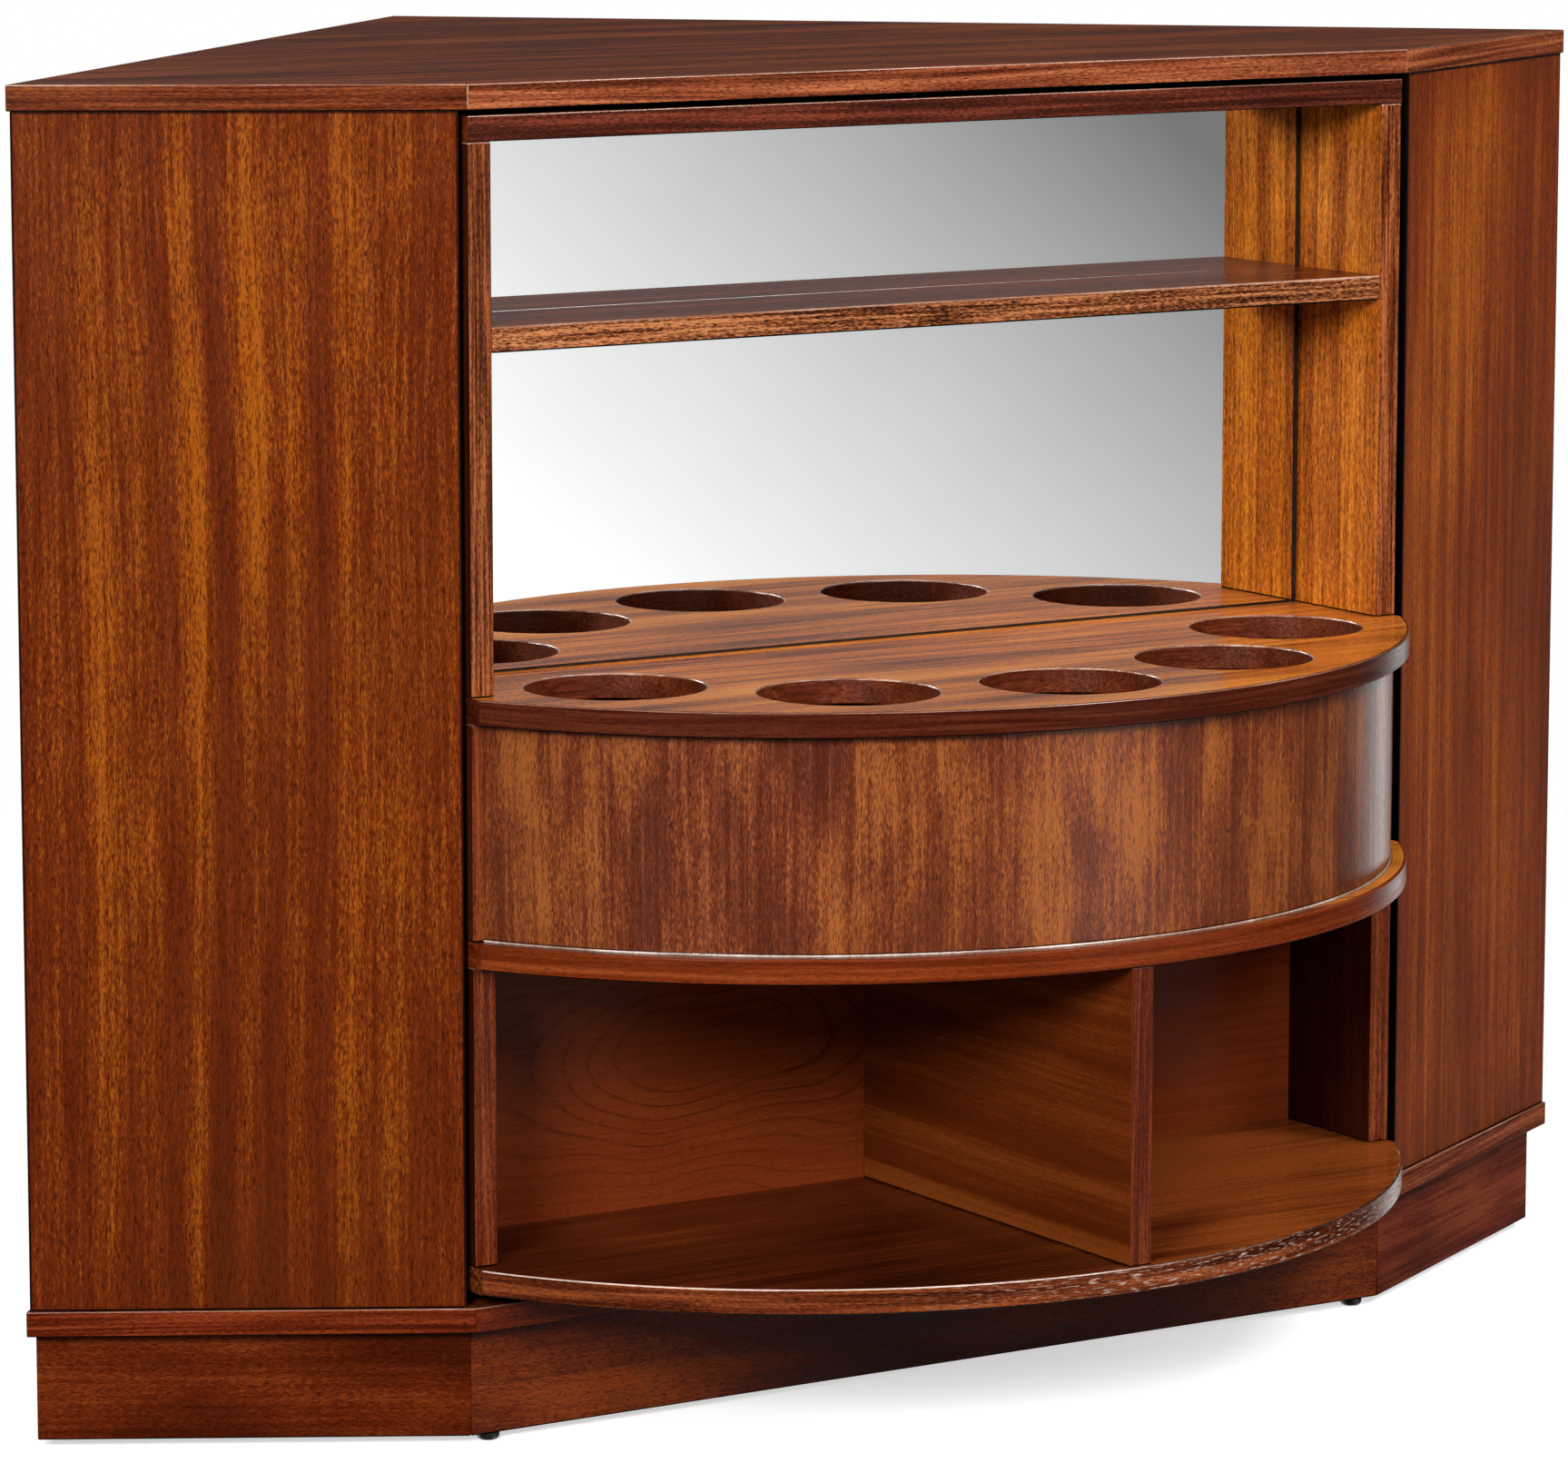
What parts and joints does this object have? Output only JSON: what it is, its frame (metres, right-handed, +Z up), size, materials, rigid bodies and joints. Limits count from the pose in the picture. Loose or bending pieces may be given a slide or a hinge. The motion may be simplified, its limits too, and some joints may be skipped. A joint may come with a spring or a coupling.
{
  "type": "corner bar cabinet",
  "caption": "Corner bar cabinet with a revolving centre: mirrored niche and shelf, bowed rack with bottle holes, curved apron and a divided open compartment, on a recessed plinth.",
  "frame": {"origin": "on the floor under the middle of the cabinet's bounding box", "axes": "+X to the right along the straight front, +Y from the front towards the room corner, +Z up"},
  "size_m": [1.3422, 1.0686, 0.954],
  "materials": {
    "veneer_carcass": "satin lacquered red-brown ribbon-stripe veneer",
    "veneer_edge": "satin lacquered edge band",
    "veneer_unit": "satin lacquered red-brown veneer",
    "plywood": "raw plywood",
    "softwood": "raw softwood",
    "tongue_wood": "raw beech",
    "mirror_glass": "silvered flat glass",
    "bearing_steel": "zinc plated",
    "bright_steel": "polished",
    "black_plastic": "moulded black",
    "white_plastic": "moulded natural"
  },
  "bodies": {
    "carcass": {"top_board": "veneer_carcass", "base_board": "veneer_carcass", "left_wing_panel": "veneer_carcass", "right_wing_panel": "veneer_carcass", "plinth_front": "veneer_carcass", "plinth_left": "veneer_carcass", "plinth_right": "veneer_carcass", "top_lipping_front": "veneer_edge", "top_lipping_left": "veneer_edge", "top_lipping_right": "veneer_edge", "base_lipping_front": "veneer_edge", "base_lipping_left": "veneer_edge", "base_lipping_right": "veneer_edge", "left_wall_panel": "plywood", "right_wall_panel": "plywood", "corner_post": "softwood", "plinth_glue_blocks": "softwood", "plinth_wall_left": "softwood", "plinth_wall_right": "softwood", "carcass_tongues": "tongue_wood", "bearing_base_ring": "bearing_steel", "foot_sleeves": "bearing_steel", "pivot_bush": "white_plastic"},
    "bar_unit": {"unit_top_panel": "veneer_unit", "upper_left_side": "veneer_unit", "upper_right_side": "veneer_unit", "display_shelf": "veneer_unit", "back_panel": "veneer_unit", "bottle_rack_board": "veneer_unit", "mid_left_side": "veneer_unit", "mid_right_side": "veneer_unit", "curved_apron": "veneer_unit", "well_floor": "veneer_unit", "lower_left_side": "veneer_unit", "lower_right_side": "veneer_unit", "compartment_divider": "veneer_unit", "lower_shelf": "veneer_unit", "bottle_rack_lipping": "veneer_edge", "well_floor_lipping": "veneer_edge", "lower_shelf_lipping": "veneer_edge", "unit_tongues": "tongue_wood", "mirror": "mirror_glass", "bearing_top_ring": "bearing_steel", "pivot_pin": "bearing_steel"},
    "bearing_cage": {"bearing_cage": "white_plastic", "bearing_balls": "bright_steel"},
    "foot_front_left": {"foot_front_left": "black_plastic"},
    "foot_front_right": {"foot_front_right": "black_plastic"},
    "foot_wall_left": {"foot_wall_left": "black_plastic"},
    "foot_wall_right": {"foot_wall_right": "black_plastic"},
    "foot_back": {"foot_back": "black_plastic"}
  },
  "joints": [
    {"name": "bar_turn", "type": "hinge", "parent": "carcass", "child": "bar_unit", "pos_m": [0, -0.23403, 0.106], "axis": [0, 0, 1], "continuous": true},
    {"name": "cage_turn", "type": "hinge", "parent": "carcass", "child": "bearing_cage", "pos_m": [0, -0.23403, 0.106], "axis": [0, 0, 1], "continuous": true},
    {"name": "foot_front_left_screw", "type": "slide", "parent": "carcass", "child": "foot_front_left", "axis": [0, 0, -1], "range_m": [0, 0.01]},
    {"name": "foot_front_right_screw", "type": "slide", "parent": "carcass", "child": "foot_front_right", "axis": [0, 0, -1], "range_m": [0, 0.01]},
    {"name": "foot_wall_left_screw", "type": "slide", "parent": "carcass", "child": "foot_wall_left", "axis": [0, 0, -1], "range_m": [0, 0.01]},
    {"name": "foot_wall_right_screw", "type": "slide", "parent": "carcass", "child": "foot_wall_right", "axis": [0, 0, -1], "range_m": [0, 0.01]},
    {"name": "foot_back_screw", "type": "slide", "parent": "carcass", "child": "foot_back", "axis": [0, 0, -1], "range_m": [0, 0.01]}
  ],
  "couplings": [
    {"joint": "cage_turn", "follows": "bar_turn", "ratio": 0.5}
  ]
}
